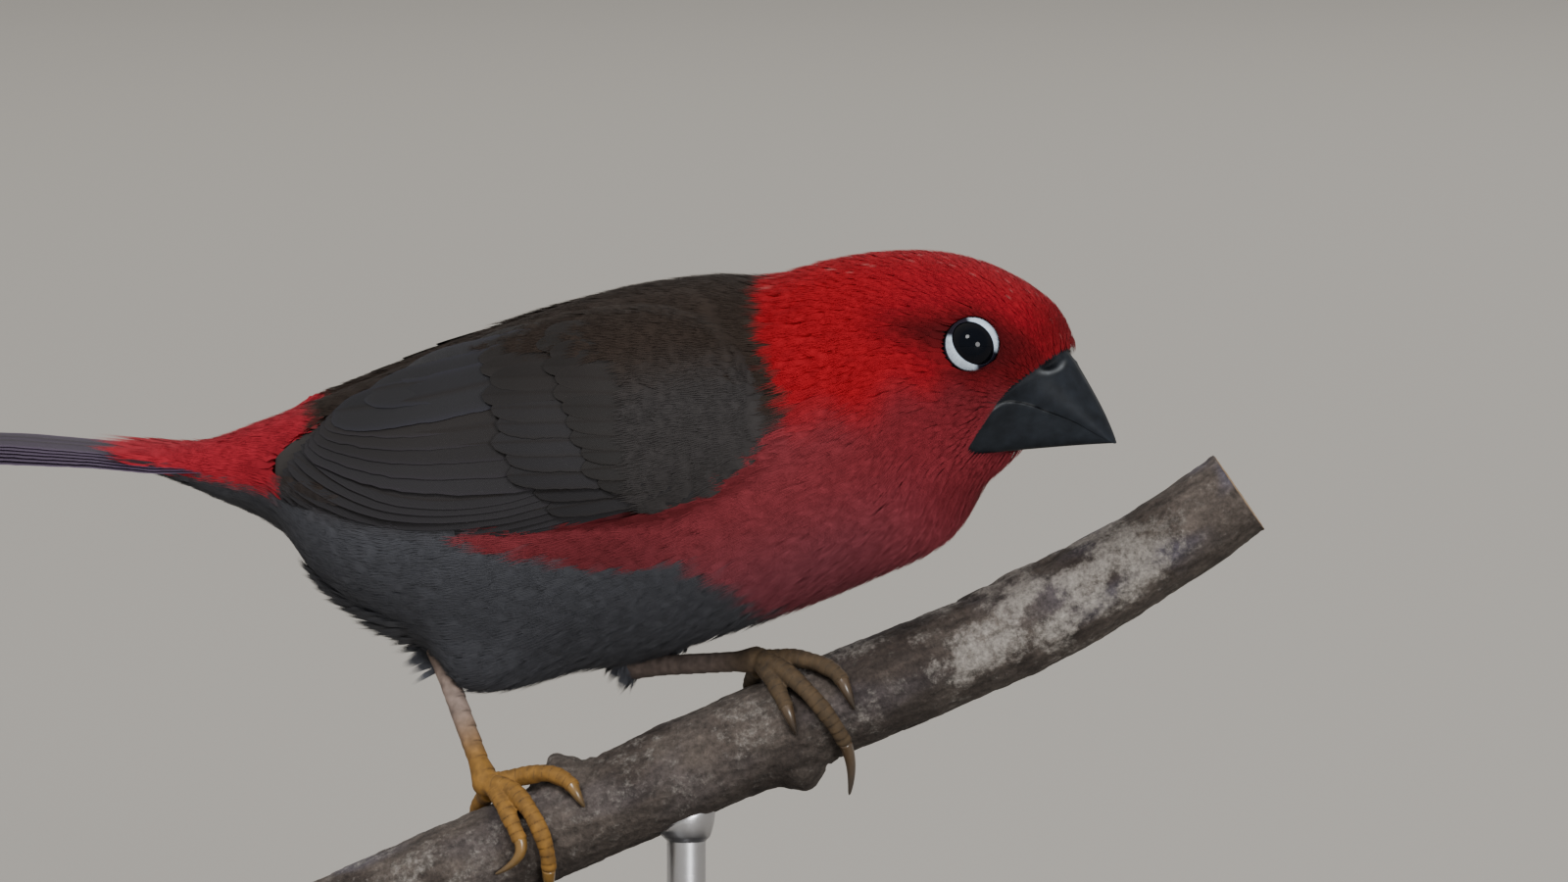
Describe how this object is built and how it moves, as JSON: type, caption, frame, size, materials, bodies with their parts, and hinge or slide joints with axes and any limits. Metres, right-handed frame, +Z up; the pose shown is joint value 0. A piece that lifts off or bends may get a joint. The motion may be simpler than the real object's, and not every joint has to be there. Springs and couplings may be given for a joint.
{
  "type": "perching finch model",
  "caption": "Life-size stout-billed crimson and brown finch gripping a cut length of branch, on a rod and oval base.",
  "frame": {"origin": "middle of the oval base's underside", "axes": "+X the way the bird faces and along the base, +Y away from the side that the picture shows, +Z up"},
  "size_m": [0.148, 0.064, 0.0895],
  "materials": {
    "crimson_plumage": "soft matt plumage, crimson",
    "brown_plumage": "soft matt plumage, blackish brown",
    "bill_horn": "smooth blue-black horn with a low gloss",
    "leg_scales": "satin scaly skin, ochre",
    "claw": "satin pale brown horn",
    "eye": "wet-looking, nearly black",
    "bark": "rough grey-brown bark with pale lichen",
    "stand_lacquer": "black satin lacquer",
    "stand_steel": "brushed"
  },
  "bodies": {
    "root": {"trunk": "brown_plumage", "neck": "crimson_plumage", "head": "crimson_plumage", "eye_left": "eye", "eye_right": "eye", "bill_upper": "bill_horn", "bill_lower": "bill_horn", "wing_left": "brown_plumage", "wing_right": "brown_plumage", "tail": "brown_plumage", "thigh_left": "brown_plumage", "thigh_right": "brown_plumage", "shank_left": "leg_scales", "shank_right": "leg_scales", "foot_left": "leg_scales", "foot_right": "leg_scales", "claw_left_inner": "claw", "claw_left_middle": "claw", "claw_left_outer": "claw", "claw_left_back": "claw", "claw_right_inner": "claw", "claw_right_middle": "claw", "claw_right_outer": "claw", "claw_right_back": "claw", "perch_branch": "bark", "stand_base": "stand_lacquer", "stand_rod": "stand_steel"}
  },
  "joints": []
}
